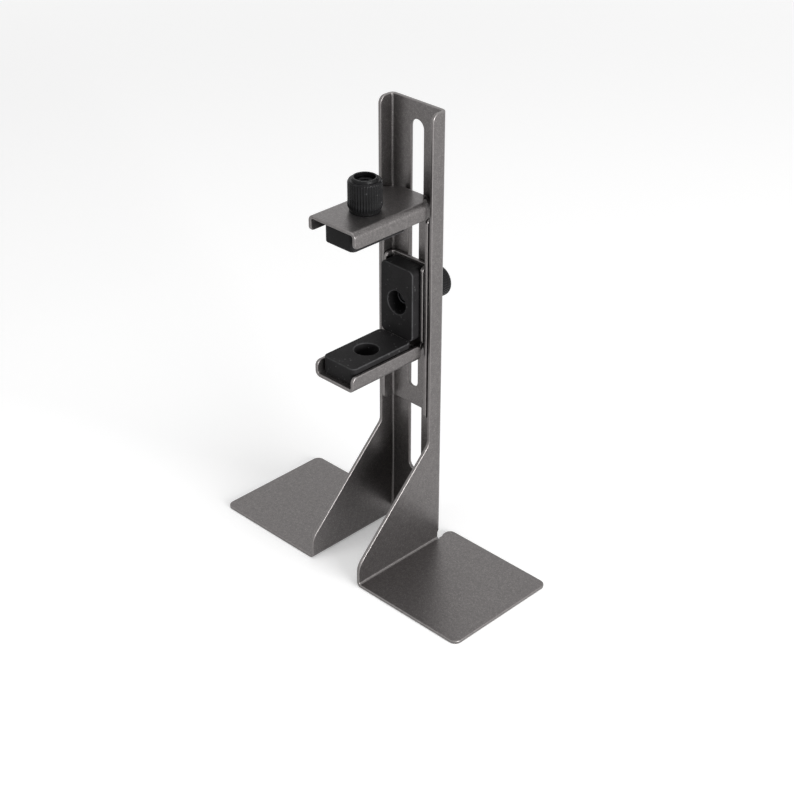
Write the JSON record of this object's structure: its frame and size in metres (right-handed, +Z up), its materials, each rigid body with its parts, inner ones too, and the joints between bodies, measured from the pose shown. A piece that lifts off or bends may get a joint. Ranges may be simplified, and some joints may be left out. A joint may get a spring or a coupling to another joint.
{
  "type": "graphics card support bracket",
  "caption": "Folded steel stand whose slotted column carries sliding, rubber-padded clamp arms that hold up a graphics card, set by thumb screws.",
  "frame": {"origin": "on the floor, at the middle of the footprint's box (the feet in front, the rear thumb screw behind), on the stand's plane of symmetry", "axes": "+X runs across the column towards the right foot, -Y is the side the arms reach out to, +Z is up along the column"},
  "size_m": [0.142, 0.0644, 0.2007],
  "materials": {
    "powder_coat": "dark grey, fine-textured satin powder coat on folded steel sheet",
    "pad_rubber": "soft black rubber, matt",
    "knob_plastic": "black moulded plastic, satin",
    "black_steel": "blackened steel",
    "plated_steel": "bright plated steel"
  },
  "bodies": {
    "stand": {"stand": "powder_coat"},
    "lower_bracket": {"lower_bracket": "powder_coat", "rest_pad": "pad_rubber", "back_pad": "pad_rubber", "lock_nut": "black_steel"},
    "upper_bracket": {"upper_bracket": "powder_coat", "clamp_nut": "black_steel"},
    "clamp_pad": {"clamp_pad": "pad_rubber", "swivel_disc": "plated_steel"},
    "clamp_screw": {"clamp_knob": "knob_plastic", "clamp_bolt": "black_steel"},
    "lock_screw": {"lock_knob": "knob_plastic", "lock_bolt": "black_steel"}
  },
  "joints": [
    {"name": "lower_bracket_slide", "type": "slide", "parent": "stand", "child": "lower_bracket", "axis": [0, 0, 1], "range_m": [-0.037, 0.07]},
    {"name": "upper_bracket_slide", "type": "slide", "parent": "lower_bracket", "child": "upper_bracket", "axis": [0, 0, 1], "range_m": [-0.025, 0.04]},
    {"name": "clamp_pad_slide", "type": "slide", "parent": "upper_bracket", "child": "clamp_pad", "axis": [0, 0, 1], "range_m": [0, 0.0015]},
    {"name": "clamp_screw_turn", "type": "hinge", "parent": "clamp_pad", "child": "clamp_screw", "pos_m": [0, -0.01205, 0.1637], "axis": [0, 0, 1], "range_deg": [0, 675]},
    {"name": "lock_screw_turn", "type": "hinge", "parent": "lower_bracket", "child": "lock_screw", "pos_m": [0, 0.01815, 0.1183], "axis": [0, 1, 0], "range_deg": [0, 720]}
  ],
  "couplings": [
    {"joint": "clamp_screw_turn", "follows": "clamp_pad_slide", "rad_per_m": 7854}
  ]
}
